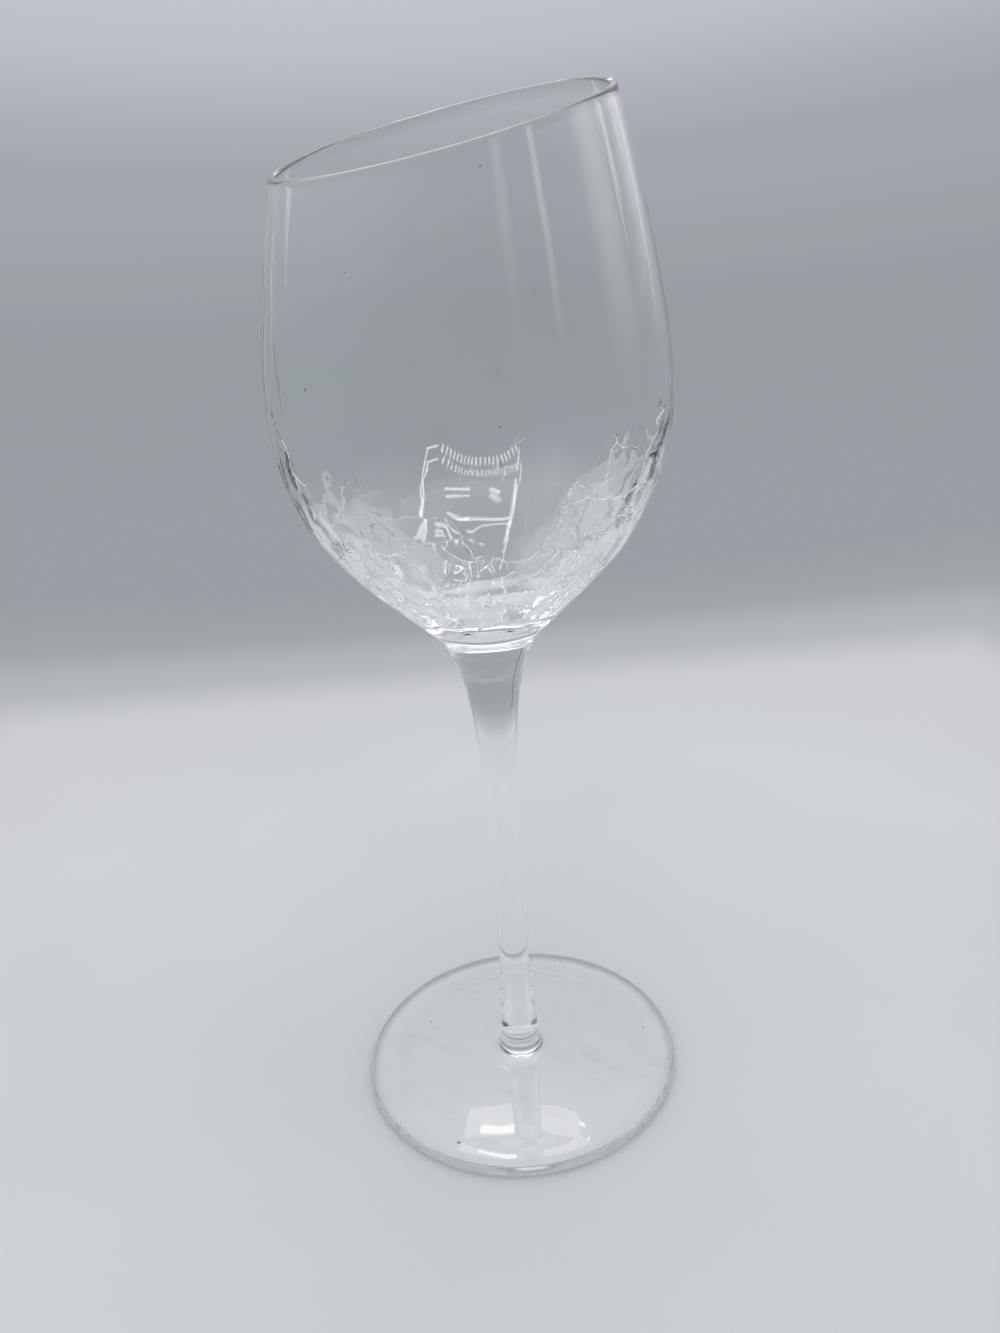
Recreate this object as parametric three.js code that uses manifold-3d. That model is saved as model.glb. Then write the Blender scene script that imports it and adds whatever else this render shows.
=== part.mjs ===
// Stemmed wine glass with a slanted rim, blown and drawn in one piece from clear glass.
// The outer skin of the lower bowl is covered by a net of fine cracks.
// Millimetres, +Z up. The origin is the centre of the foot, on the surface it stands on.
// The rim's highest point is on +X, its lowest on -X.

import * as THREE from "three";
import Module from "manifold-3d";

// Foot
const footDiameter = 80;
const footEdgeThickness = 2.6;
const footTopHeight = 4.2;
const restRingInset = 4;
const restRingWidth = 3;
const footHollowDepth = 1.3;
const footFlareRadius = 10;

// Stem
const stemBaseDiameter = 10;
const stemWaistDiameter = 7;
const stemTopDiameter = 21;
const stemWaistHeight = 58;
const jointHeight = 116;

// Bowl, with its heights measured up from the joint
const bellyDiameter = 83.6;
const bellyHeight = 51;
const mouthDiameter = 66.4;
const floorHeight = 4.4;
const floorDiameter = 15;
const cornerRiseShare = 0.3;
const cornerRadiusShare = 0.42;
const floorEdgeShare = 0.25;
const lowerWall = 3;
const bellyWall = 2.2;
const rimWall = 1.4;

// Rim: a flat slanted cut through the bowl, with a rounded lip; the mouth is measured at its middle
const rimMiddleHeight = 103;
const rimSlopeDegrees = 19.2;

// Cracks
const crackWidth = 0.7;
const crackDepth = 0.5;
const crackEndShare = 0.4;
const crackLift = 0.8;
const crackStep = 4.5;
const crackClearance = 1.2;
const shortestCrack = 3;
const crackZoneTop = 43;
const crackZoneBottom = 11;
const crackCellWidth = 16;

// Mesh fineness
const sides = 48;
const lipSteps = 4;
const wallShares = [0.2, 0.4, 0.6, 0.8];
const edgeDegrees = [-60, -30, 0, 30, 60];
const outlineSteps = 24;
const levelRounds = 24;

// Underside of the foot: share of the resting ring's inner radius, then share of the hollow's depth
const undersideShape = [[0, 1], [0.45, 0.88], [0.8, 0.45], [1, 0]];
// Top of the foot: share of the way out from the flare to the edge, then share of the rise
const footTopShape = [[0.86, 0.06], [0.6, 0.17], [0.33, 0.31], [0, 0.45]];
// The flare round the stem's base: share of the way out from the stem, then share of the rise
const flareShape = [[0.3, 0.7]];
const edgeMiddleShare = 1.1;

// Outline of the stem: height share from foot to waist or waist to joint, then radius share
const lowerStemShape = [[0, 1], [0.1, 0.86], [0.28, 0.54], [0.6, 0.18], [1, 0]];
const upperStemShape = [
  [0, 0], [0.22, 0.03], [0.44, 0.1], [0.58, 0.18], [0.7, 0.285],
  [0.82, 0.46], [0.9, 0.65], [0.96, 0.84], [1, 1],
];

// Outline of the bowl: height share from joint to belly, then radius share
const lowerBowlShape = [
  [0, 0], [0.075, 0.129], [0.163, 0.282], [0.27, 0.467], [0.388, 0.647],
  [0.525, 0.806], [0.682, 0.917], [0.85, 0.983], [1, 1],
];
// Height share from belly to the rim's middle and on past it, then share of the narrowing to the mouth
const upperBowlShape = [
  [0, 0], [0.2, 0.049], [0.385, 0.215], [0.557, 0.396], [0.69, 0.556],
  [0.849, 0.765], [1, 0.99], [1.194, 1.31], [1.327, 1.523], [1.7, 2.1],
];

// Cracks on the face turned to the viewer: [degrees around from +X, height above the joint]
const viewedCracks = [
  [[182, 34.8], [189, 34.2], [194, 34.2], [201, 33.8]],
  [[184, 31.5], [188, 28.5], [193, 28.9], [200, 29.5], [207, 29.5]],
  [[163, 26.6], [172, 26], [173, 23.8], [178, 20.9], [182, 19.1], [193, 18.2], [204, 20.2],
    [214, 20.4], [221, 21.8], [226, 20.2], [232, 19.6], [241, 17.9], [247, 18], [249, 20]],
  [[174, 31.1], [175, 26.6], [180, 26.3], [188, 27.9]],
  [[232, 19.6], [236, 23], [235, 25.2], [243, 24.4]],
  [[209, 25.9], [213, 25.7], [216, 24.4], [224, 24.2], [228, 26.4],
    [232, 29.6], [233, 33.6], [236, 38], [241, 36.2]],
  [[210, 25.2], [208, 21.5]],
  [[233, 33.6], [241, 34.8], [246, 33.9], [254, 33.6], [260, 34.9],
    [262, 38], [265, 41.9], [266, 46.8], [273, 49.4]],
  [[248, 46], [248, 44], [246, 40.6], [245, 37.1], [249, 38.2], [254, 39.9], [256, 43.4]],
  [[241, 27.7], [247, 27.6], [252, 28.4], [256, 29.6], [266, 29.8], [271, 33.2], [281, 35.1]],
  [[249, 20], [249, 23.7], [252, 28]],
  [[186, 16], [197, 16.6], [205, 15.9], [212, 16.1], [222, 16.6], [228, 16.4]],
  [[212, 15.5], [222, 13], [228, 12.5]],
  [[240, 12], [248, 13.1], [250, 16.3], [257, 17.6]],
  [[148, 49.6], [152, 46.4], [151, 42.6], [157, 39.6], [160, 34.6], [163, 31.9], [163, 26.6]],
  [[180, 26.3], [179, 21.7]],
  [[199, 28.2], [203, 25.5], [206, 25]],
  [[163, 31.9], [172, 36.6], [175, 41.3]],
];

// Cracks round the rest of the bowl, between these angles
const netStartDegrees = 284;
const netEndDegrees = 502;
const netRowShares = [0.06, 0.25, 0.46, 0.7, 0.97];
const rowWander = 0.2;
const rowBreakShare = 0.14;
const uprightShift = 0.7;
const uprightLean = 0.8;
const uprightBend = 0.3;

// A smooth line through a shape's points, read back as radius at a height
function outline(points) {
  const line = new THREE.SplineCurve(points.map(([height, radius]) => new THREE.Vector2(height, radius)));
  const samples = line.getPoints(points.length * outlineSteps);
  return (height) => {
    let index = 1;
    while (index < samples.length - 1 && samples[index].x < height) {
      index += 1;
    }
    const low = samples[index - 1];
    const high = samples[index];
    const share = THREE.MathUtils.clamp((height - low.x) / Math.max(high.x - low.x, 1e-9), 0, 1);
    return low.y + (high.y - low.y) * share;
  };
}

// A shape's shares turned into heights and radii
function scaled(shape, startHeight, endHeight, startRadius, endRadius) {
  return shape.map(([heightShare, radiusShare]) => [
    startHeight + (endHeight - startHeight) * heightShare,
    startRadius + (endRadius - startRadius) * radiusShare,
  ]);
}

const bellyLevel = jointHeight + bellyHeight;
const rimMiddleLevel = jointHeight + rimMiddleHeight;
const stemWaistRadius = stemWaistDiameter / 2;
const stemTopRadius = stemTopDiameter / 2;
const bellyRadius = bellyDiameter / 2;

const lowerStem = lowerStemShape.map(([heightShare, radiusShare]) => [
  footTopHeight + (stemWaistHeight - footTopHeight) * heightShare,
  stemWaistRadius + (stemBaseDiameter / 2 - stemWaistRadius) * radiusShare,
]);
const upperStem = scaled(upperStemShape, stemWaistHeight, jointHeight, stemWaistRadius, stemTopRadius);
const lowerBowl = scaled(lowerBowlShape, jointHeight, bellyLevel, stemTopRadius, bellyRadius);
const upperBowl = scaled(upperBowlShape, bellyLevel, rimMiddleLevel, bellyRadius, mouthDiameter / 2);
const bowlRadiusAt = outline([...lowerBowl, ...upperBowl.slice(1)]);

// Wall thickness: thick at the bottom, thinner at the belly, thinnest at the rim
const wallAt = outline([
  [jointHeight, lowerWall],
  [jointHeight + bellyHeight * 0.4, lowerWall],
  [bellyLevel, bellyWall],
  [rimMiddleLevel, rimWall],
  [upperBowl.at(-1)[0], rimWall],
]);

// Unit vector square to the outer wall at a height, as [radial, upward]
function outwardAt(height) {
  const step = 0.5;
  const slope = (bowlRadiusAt(height + step) - bowlRadiusAt(height - step)) / (2 * step);
  const size = Math.hypot(1, slope);
  return [1 / size, -slope / size];
}

// Inner wall as a smooth line, set in from the outer wall by the wall thickness
const innerStart = 3;
const innerPoints = [];
for (const [height, radius] of [...lowerBowl.slice(innerStart), ...upperBowl.slice(1)]) {
  const [radial, upward] = outwardAt(height);
  const wall = wallAt(height);
  innerPoints.push([height - upward * wall, radius - radial * wall]);
}
const floorLevel = jointHeight + floorHeight;
const cornerRise = (innerPoints[0][0] - floorLevel) * cornerRiseShare;
const cornerRadius = floorDiameter / 2 + (innerPoints[0][1] - floorDiameter / 2) * cornerRadiusShare;
const innerRadiusAt = outline([[floorLevel + cornerRise, cornerRadius], ...innerPoints]);

// Height of the slanted rim plane at an angle, on a wall line of its own
const rimSlope = Math.tan(THREE.MathUtils.degToRad(rimSlopeDegrees));
function rimHeight(angle, radiusAt) {
  let height = rimMiddleLevel;
  for (let round = 0; round < levelRounds; round += 1) {
    height = rimMiddleLevel + rimSlope * radiusAt(height) * Math.cos(angle);
  }
  return height;
}

// The profile, from the middle of the underside, out round the foot, up and over the rim,
// and in to the bowl's floor. Each entry gives radius and height at an angle.
const profile = [];
const fixed = (radius, height) => profile.push(() => [radius, height]);

const footRadius = footDiameter / 2;
const restOuter = footRadius - restRingInset;
const restInner = restOuter - restRingWidth;
const edgeHalf = footEdgeThickness / 2;
for (const [radiusShare, depthShare] of undersideShape) {
  fixed(restInner * radiusShare, footHollowDepth * depthShare);
}
fixed(restOuter, 0);
for (const degrees of edgeDegrees) {
  const turn = THREE.MathUtils.degToRad(degrees);
  const radius = footRadius - edgeHalf + edgeHalf * Math.cos(turn);
  fixed(radius, edgeHalf * edgeMiddleShare + edgeHalf * Math.sin(turn));
}
const stemBaseRadius = stemBaseDiameter / 2;
const footTopRise = footTopHeight - footEdgeThickness;
for (const [outShare, riseShare] of footTopShape) {
  const radius = footFlareRadius + (footRadius - footFlareRadius) * outShare;
  fixed(radius, footEdgeThickness + footTopRise * riseShare);
}
for (const [outShare, riseShare] of flareShape) {
  const radius = stemBaseRadius + (footFlareRadius - stemBaseRadius) * outShare;
  fixed(radius, footEdgeThickness + footTopRise * riseShare);
}
for (const [height, radius] of lowerStem) {
  fixed(radius, height);
}
for (const [height, radius] of upperStem.slice(1)) {
  fixed(radius, height);
}
for (const [height, radius] of lowerBowl.slice(1)) {
  fixed(radius, height);
}

// A ring of the wall between belly and rim, which slants more the nearer it is to the rim
function wallRing(share, radiusAt) {
  profile.push((angle) => {
    const height = bellyLevel + (rimHeight(angle, radiusAt) - bellyLevel) * share;
    return [radiusAt(height), height];
  });
}
for (const share of wallShares) {
  wallRing(share, bowlRadiusAt);
}
for (let step = 0; step <= lipSteps; step += 1) {
  const turn = (Math.PI * step) / lipSteps;
  profile.push((angle) => {
    const outerHeight = rimHeight(angle, bowlRadiusAt);
    const outer = [bowlRadiusAt(outerHeight), outerHeight];
    const innerHeight = rimHeight(angle, innerRadiusAt);
    const inner = [innerRadiusAt(innerHeight), innerHeight];
    const half = (outer[0] - inner[0]) / 2;
    const middle = (outer[0] + inner[0]) / 2;
    const level = (outer[1] + inner[1]) / 2 + ((outer[1] - inner[1]) / 2) * Math.cos(turn);
    return [middle + half * Math.cos(turn), level + half * Math.sin(turn)];
  });
}
for (const share of wallShares.toReversed()) {
  wallRing(share, innerRadiusAt);
}
for (const [height, radius] of innerPoints.slice(0, lowerBowl.length - innerStart).reverse()) {
  fixed(radius, height);
}
fixed(cornerRadius, floorLevel + cornerRise);
fixed(floorDiameter / 2, floorLevel + cornerRise * floorEdgeShare);
fixed(0, floorLevel);

// One turned body, whose upper rings are then raised and lowered to follow the slanted rim
function turnedBody() {
  const flat = profile.map((place) => new THREE.Vector2(...place(0)));
  const geometry = new THREE.LatheGeometry(flat, sides);
  const place = geometry.getAttribute("position");
  for (let side = 0; side <= sides; side += 1) {
    const angle = (2 * Math.PI * side) / sides;
    for (let ring = 0; ring < profile.length; ring += 1) {
      const [radius, height] = profile[ring](angle);
      place.setXYZ(side * profile.length + ring, radius * Math.cos(angle), radius * Math.sin(angle), height);
    }
  }
  return geometry;
}

const wasm = await Module();
wasm.setup();

// A closed mesh as a solid, with the vertices that share a place made one
function toSolid(geometry) {
  const place = geometry.getAttribute("position");
  const unshared = Array.from({ length: place.count }, (_, index) => index);
  const order = geometry.index ? Array.from(geometry.index.array) : unshared;
  const known = new Map();
  const points = [];
  const renumbered = [];
  for (let i = 0; i < place.count; i += 1) {
    const spot = [place.getX(i), place.getY(i), place.getZ(i)];
    const key = spot.map((value) => Math.round(value * 1e3)).join(" ").replace(/-0(?= |$)/g, "0");
    if (!known.has(key)) {
      known.set(key, points.length / 3);
      points.push(...spot);
    }
    renumbered.push(known.get(key));
  }
  const faces = [];
  for (let i = 0; i < order.length; i += 3) {
    const [a, b, c] = [renumbered[order[i]], renumbered[order[i + 1]], renumbered[order[i + 2]]];
    if (a !== b && b !== c && c !== a) {
      faces.push(a, b, c);
    }
  }
  const mesh = new wasm.Mesh({
    numProp: 3,
    vertProperties: new Float32Array(points),
    triVerts: new Uint32Array(faces),
  });
  return new wasm.Manifold(mesh);
}

// The turned body is a little smaller across its flats than across its corners
const betweenFlatAndCorner = (1 + Math.cos(Math.PI / sides)) / 2;

// A point on the bowl's outer face, and the direction square to it
function onBowl(degrees, heightAboveJoint) {
  const angle = THREE.MathUtils.degToRad(degrees);
  const height = jointHeight + heightAboveJoint;
  const radius = bowlRadiusAt(height) * betweenFlatAndCorner;
  const [radial, upward] = outwardAt(height);
  return {
    point: new THREE.Vector3(radius * Math.cos(angle), radius * Math.sin(angle), height),
    outward: new THREE.Vector3(radial * Math.cos(angle), radial * Math.sin(angle), upward),
  };
}

// A line with points added or left out, so that they lie about one step apart on the bowl
function respaced(line, step) {
  const result = [line[0]];
  let walked = 0;
  for (let i = 1; i < line.length; i += 1) {
    const [startAngle, startHeight] = line[i - 1];
    const [endAngle, endHeight] = line[i];
    const length = onBowl(startAngle, startHeight).point.distanceTo(onBowl(endAngle, endHeight).point);
    const count = Math.max(1, Math.ceil(length / step));
    for (let place = 1; place <= count; place += 1) {
      walked += length / count;
      const isLast = i === line.length - 1 && place === count;
      if (isLast && walked < step * 0.5 && result.length > 1) {
        result.pop();
      }
      if (isLast || walked > step * 0.75) {
        const share = place / count;
        const angle = startAngle + (endAngle - startAngle) * share;
        result.push([angle, startHeight + (endHeight - startHeight) * share]);
        walked = 0;
      }
    }
  }
  return result;
}

// The stretches of each crack that keep clear of the cracks before it: glass is left whole between two cracks
function keptApart(lines) {
  const taken = [];
  const kept = [];
  for (const line of lines) {
    const close = respaced(line, crackClearance / 2);
    const points = close.map(([degrees, height]) => onBowl(degrees, height).point);
    let run = [];
    close.forEach((spot, index) => {
      const isFree = taken.every((point) => point.distanceTo(points[index]) > crackClearance);
      if (isFree) {
        run.push(spot);
      }
      if (!isFree || index === close.length - 1) {
        if (run.length > shortestCrack / (crackClearance / 2)) {
          kept.push(run);
        }
        run = [];
      }
    });
    taken.push(...points);
  }
  return kept;
}

// A wedge laid along a crack, narrow edge inward, shallow at both ends
function crackWedge(line) {
  const spots = respaced(line, crackStep).map(([degrees, height]) => onBowl(degrees, height));
  const last = spots.length - 1;
  const points = [];
  spots.forEach(({ point, outward }, index) => {
    const before = spots[Math.max(index - 1, 0)].point;
    const after = spots[Math.min(index + 1, last)].point;
    const along = after.clone().sub(before).normalize();
    const across = outward.clone().cross(along).normalize();
    const deep = index === 0 || index === last ? crackDepth * crackEndShare : crackDepth;
    const half = ((crackWidth / 2) * (deep + crackLift)) / crackDepth;
    const top = point.clone().addScaledVector(outward, crackLift);
    points.push(top.clone().addScaledVector(across, half));
    points.push(top.clone().addScaledVector(across, -half));
    points.push(point.clone().addScaledVector(outward, -deep));
  });
  const faces = [0, 2, 1];
  for (let i = 0; i < last; i += 1) {
    for (let edge = 0; edge < 3; edge += 1) {
      const [a, b] = [i * 3 + edge, i * 3 + ((edge + 1) % 3)];
      faces.push(a, b, a + 3, b, b + 3, a + 3);
    }
  }
  faces.push(last * 3, last * 3 + 1, last * 3 + 2);
  const geometry = new THREE.BufferGeometry().setFromPoints(points);
  geometry.setIndex(faces);
  return geometry;
}

// A repeatable value from 0 to 1 for a row and a place in it
function scatter(row, place) {
  const value = Math.sin(row * 12.9898 + place * 78.233) * 43758.5453;
  return value - Math.floor(value);
}

// The height of a wandering row of the crack net at an angle
const netRows = netRowShares.map((share) => crackZoneBottom + (crackZoneTop - crackZoneBottom) * share);
function rowHeight(row, degrees) {
  const upper = Math.min(row + 1, netRows.length - 1);
  const reach = (netRows[upper] - netRows[upper - 1]) * rowWander;
  const wave = Math.sin(degrees * 0.11 + row * 2.1) + 0.6 * Math.sin(degrees * 0.27 + row * 1.3);
  return netRows[row] + reach * wave;
}

// The crack net round the far side: broken rows, joined by uprights that lean
function netCracks() {
  const lines = [];
  netRows.forEach((base, row) => {
    const radius = bowlRadiusAt(jointHeight + base);
    const cell = THREE.MathUtils.radToDeg(crackCellWidth / radius);
    let place = 0;
    let arc = [];
    for (let degrees = netStartDegrees; degrees < netEndDegrees; degrees += cell / 2) {
      arc.push([degrees, rowHeight(row, degrees)]);
      place += 1;
      if (scatter(row, place) < rowBreakShare) {
        lines.push(arc);
        arc = [];
      }
    }
    lines.push(arc);
    if (row === 0) {
      return;
    }
    for (let index = 0; netStartDegrees + (index + 0.5) * cell < netEndDegrees; index += 1) {
      const shift = (scatter(row + 20, index) - 0.5) * uprightShift;
      const lean = (scatter(row + 40, index) - 0.5) * uprightLean;
      const top = netStartDegrees + (index + 0.5 + shift) * cell;
      const bottom = top + lean * cell;
      const middle = (top + bottom) / 2 + (scatter(row + 60, index) - 0.5) * uprightBend * cell;
      const high = rowHeight(row, top);
      const low = rowHeight(row - 1, bottom);
      lines.push([[top, high], [middle, (high + low) / 2], [bottom, low]]);
    }
  });
  return lines.filter((line) => line.length > 1);
}

const cracks = keptApart([...viewedCracks, ...netCracks()]);
let body = toSolid(turnedBody());
for (const line of cracks) {
  body = body.subtract(toSolid(crackWedge(line)));
}

// A solid as a three.js geometry
function toGeometry(solid) {
  const mesh = solid.getMesh();
  const geometry = new THREE.BufferGeometry();
  geometry.setAttribute("position", new THREE.BufferAttribute(new Float32Array(mesh.vertProperties), 3));
  geometry.setIndex(new THREE.BufferAttribute(new Uint32Array(mesh.triVerts), 1));
  return geometry;
}

// The flakes that two crossing cracks set free have fallen out, so only the glass itself is kept
function withoutFlakes(solid) {
  const pieces = toSolid(toGeometry(solid)).decompose();
  return pieces.reduce((largest, piece) => (piece.volume() > largest.volume() ? piece : largest));
}

const glassGeometry = toGeometry(withoutFlakes(body));
glassGeometry.computeVertexNormals();

const clearGlass = new THREE.MeshStandardMaterial({
  color: 0xeef3f6,
  roughness: 0.03,
  metalness: 0,
  transparent: true,
  opacity: 0.35,
});
const glass = new THREE.Mesh(glassGeometry, clearGlass);
glass.name = "wine_glass";

const object = new THREE.Group();
object.add(glass);

export default object;
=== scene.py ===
# Stemmed wine glass with a slanted rim and a net of fine cracks in the skin of its lower bowl.
# Lengths are in millimetres and are turned into metres where a mesh is made.
import math

import bpy
import numpy as np
from mathutils import Matrix, Vector, geometry, kdtree


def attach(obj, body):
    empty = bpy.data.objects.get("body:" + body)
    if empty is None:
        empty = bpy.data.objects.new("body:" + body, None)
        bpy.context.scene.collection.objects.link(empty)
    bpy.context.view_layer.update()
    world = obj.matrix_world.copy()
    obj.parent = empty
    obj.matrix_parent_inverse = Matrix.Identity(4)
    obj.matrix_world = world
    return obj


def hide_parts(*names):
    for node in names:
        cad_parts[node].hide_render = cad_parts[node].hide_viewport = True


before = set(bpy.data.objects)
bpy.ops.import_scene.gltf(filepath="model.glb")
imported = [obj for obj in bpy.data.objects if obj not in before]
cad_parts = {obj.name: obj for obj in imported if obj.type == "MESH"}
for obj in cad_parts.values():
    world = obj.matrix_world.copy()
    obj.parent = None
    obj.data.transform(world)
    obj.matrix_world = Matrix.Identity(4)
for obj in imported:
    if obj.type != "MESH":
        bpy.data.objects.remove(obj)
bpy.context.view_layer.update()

MM = 0.001

# Foot
foot_radius = 40
foot_edge_thickness = 2.6
foot_top_height = 4.2
rest_ring_inset = 4
rest_ring_width = 3
foot_hollow_depth = 1.3
foot_flare_radius = 10

# Stem
stem_base_radius = 5
stem_waist_radius = 3.5
stem_top_radius = 10.5
stem_waist_height = 58
joint_height = 116

# Bowl
belly_radius = 41.8
belly_level = joint_height + 51
mouth_radius = 33.2
floor_level = joint_height + 4.4
floor_radius = 7.5
lower_wall = 3.0
belly_wall = 2.2
rim_wall = 1.4

# Rim: a flat slanted cut, highest on +X
rim_level = joint_height + 102.5
rim_slope = math.tan(math.radians(19.9))
slant_start = joint_height + 58

# Cracked band of the bowl, measured up from the joint
band_bottom = 6.5
band_top = 57.5
front_middle = math.radians(214)    # middle of the face turned to the viewer
back_middle = math.radians(34)
ripple_radius = 36                  # where the waves round the bowl are counted
inner_ripple_height = 0.11
full_crack_depth = 0.6
broken_face_share = 0.16            # a face is broken glass where it is cracked more than this

# Mesh
sides = 216
lip_steps = 10
slant_rings = 27
groove_step = 0.75
shoulder_width = 0.42
pad_point_gap = 1.5
clear_of_grooves = 1.05
far_seeds = 14
filling_seeds = 2600
hairlines = 50
seam = math.radians(30)
rng = np.random.default_rng(41)

# Outline of the lower stem and the upper stem, then of the bowl, as height share and radius share
lower_stem_shape = [(0, 1), (0.1, 0.86), (0.28, 0.54), (0.6, 0.18), (1, 0)]
upper_stem_shape = [
    (0, 0), (0.22, 0.03), (0.44, 0.1), (0.58, 0.18), (0.7, 0.285),
    (0.82, 0.46), (0.9, 0.65), (0.96, 0.84), (1, 1),
]
lower_bowl_shape = [
    (0, 0), (0.075, 0.129), (0.163, 0.282), (0.27, 0.467), (0.388, 0.647),
    (0.525, 0.806), (0.682, 0.917), (0.85, 0.983), (1, 1),
]
upper_bowl_shape = [
    (0.2, 0.049), (0.385, 0.215), (0.557, 0.396), (0.69, 0.556),
    (0.849, 0.765), (1, 0.99), (1.194, 1.31), (1.327, 1.523), (1.7, 2.1),
]

# Cracks on the face turned to the viewer: (degrees around from +X, height above the joint)
viewed_cracks = [
    [(182, 34.8), (189, 34.2), (194, 34.2), (201, 33.8)],
    [(184, 31.5), (188, 28.5), (193, 28.9), (200, 29.5), (207, 29.5)],
    [(163, 26.6), (172, 26), (173, 23.8), (178, 20.9), (182, 19.1), (193, 18.2), (204, 20.2),
     (214, 20.4), (221, 21.8), (226, 20.2), (232, 19.6), (241, 17.9), (247, 18), (249, 20)],
    [(174, 31.1), (175, 26.6), (180, 26.3), (188, 27.9)],
    [(232, 19.6), (236, 23), (235, 25.2), (243, 24.4)],
    [(209, 25.9), (213, 25.7), (216, 24.4), (224, 24.2), (228, 26.4), (232, 29.6), (233, 33.6),
     (236, 38), (241, 36.2)],
    [(210, 25.2), (208, 21.5)],
    [(233, 33.6), (241, 34.8), (246, 33.9), (254, 33.6), (260, 34.9), (262, 38), (265, 41.9),
     (266, 46.8), (273, 49.4)],
    [(248, 46), (248, 44), (246, 40.6), (245, 37.1), (249, 38.2), (254, 39.9), (256, 43.4)],
    [(241, 27.7), (247, 27.6), (252, 28.4), (256, 29.6), (266, 29.8), (271, 33.2), (281, 35.1)],
    [(249, 20), (249, 23.7), (252, 28)],
    [(186, 16), (197, 16.6), (205, 15.9), (212, 16.1), (222, 16.6), (228, 16.4)],
    [(212, 15.5), (222, 13), (228, 12.5)],
    [(240, 12), (248, 13.1), (250, 16.3), (257, 17.6)],
    [(148, 49.6), (152, 46.4), (151, 42.6), (157, 39.6), (160, 34.6), (163, 31.9), (163, 26.6)],
    [(180, 26.3), (179, 21.7)],
    [(199, 28.2), (203, 25.5), (206, 25)],
    [(163, 31.9), (172, 36.6), (175, 41.3)],
    [(232, 33), (233, 27.5), (230, 22.5), (226, 19.5)],
    [(196, 20.7), (193, 18.2), (190, 16.4)],
]


# ---------------- outlines

def smooth_line(points, pieces=24):
    """A smooth curve through the points, as arrays of height and radius."""
    pts = np.array(points, float)
    ends = np.vstack([2 * pts[0] - pts[1], pts, 2 * pts[-1] - pts[-2]])
    out = []
    for i in range(1, len(ends) - 2):
        a, b, c, d = ends[i - 1:i + 3]
        t = np.linspace(0, 1, pieces, endpoint=False)[:, None]
        out.append(0.5 * (2 * b + (c - a) * t + (2 * a - 5 * b + 4 * c - d) * t ** 2
                          + (3 * b - a - 3 * c + d) * t ** 3))
    return np.vstack(out + [pts[-1:]])


def scaled(shape, start_height, end_height, start_radius, end_radius):
    return [(start_height + (end_height - start_height) * h, start_radius + (end_radius - start_radius) * r)
            for h, r in shape]


lower_stem = scaled(lower_stem_shape, foot_top_height, stem_waist_height, 0, 1)
lower_stem = [(h, stem_waist_radius + (stem_base_radius - stem_waist_radius) * s) for h, s in lower_stem]
upper_stem = scaled(upper_stem_shape, stem_waist_height, joint_height, stem_waist_radius, stem_top_radius)
lower_bowl = scaled(lower_bowl_shape, joint_height, belly_level, stem_top_radius, belly_radius)
upper_bowl = scaled(upper_bowl_shape, belly_level, rim_level, belly_radius, mouth_radius)
bowl_line = smooth_line(lower_bowl + upper_bowl)


def bowl_radius(height):
    return np.interp(height, bowl_line[:, 0], bowl_line[:, 1])


wall_line = smooth_line([
    (joint_height, lower_wall), (joint_height + 20, lower_wall), (belly_level, belly_wall),
    (rim_level, rim_wall), (rim_level + 45, rim_wall),
])


def bowl_slope(height):
    return bowl_radius(np.asarray(height) + 0.5) - bowl_radius(np.asarray(height) - 0.5)


inner_points = []
for height, radius in lower_bowl[3:] + upper_bowl:
    slope = float(bowl_slope(height))
    wall = float(np.interp(height, wall_line[:, 0], wall_line[:, 1])) / math.hypot(1, slope)
    inner_points.append((height + slope * wall, radius - wall))
corner_rise = (inner_points[0][0] - floor_level) * 0.3
corner_radius = floor_radius + (inner_points[0][1] - floor_radius) * 0.42
inner_line = smooth_line([(floor_level + corner_rise, corner_radius)] + inner_points)


def inner_radius(height):
    return np.interp(height, inner_line[:, 0], inner_line[:, 1])


def rim_height(angle, radius_at):
    height = np.full_like(np.asarray(angle, float), rim_level)
    for _ in range(30):
        height = rim_level + rim_slope * radius_at(height) * np.cos(angle)
    return height


# ---------------- the turned body

def every(line, gap):
    """Points along a smooth line, about one gap apart."""
    steps = np.hypot(*np.diff(line, axis=0).T)
    walked = np.concatenate([[0], np.cumsum(steps)])
    count = max(2, int(round(walked[-1] / gap)))
    at = np.linspace(0, walked[-1], count + 1)
    return np.column_stack([np.interp(at, walked, line[:, k]) for k in (0, 1)])


def cut_line(line, low, high):
    """The stretch of a line between two heights, with its ends exactly on them."""
    inside = line[(line[:, 0] > low) & (line[:, 0] < high)]
    ends = [[h, np.interp(h, line[:, 0], line[:, 1])] for h in (low, high)]
    return np.vstack([ends[:1], inside, ends[1:]])


rings = []          # each ring gives radius and height at an array of angles


def fixed(radius, height):
    rings.append(lambda angle: (np.full_like(angle, radius), np.full_like(angle, height)))


def slanted(share, radius_at):
    def place(angle):
        height = slant_start + (rim_height(angle, radius_at) - slant_start) * share
        return radius_at(height), height
    rings.append(place)


def lip(turn):
    def place(angle):
        outer_height, inner_height = rim_height(angle, bowl_radius), rim_height(angle, inner_radius)
        outer, inner = bowl_radius(outer_height), inner_radius(inner_height)
        half, middle = (outer - inner) / 2, (outer + inner) / 2
        level = (outer_height + inner_height) / 2 + (outer_height - inner_height) / 2 * math.cos(turn)
        return middle + half * math.cos(turn), level + 1.15 * half * math.sin(turn)
    rings.append(place)


rest_outer = foot_radius - rest_ring_inset
rest_inner = rest_outer - rest_ring_width
edge_half = foot_edge_thickness / 2
foot_rise = foot_top_height - foot_edge_thickness

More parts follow.
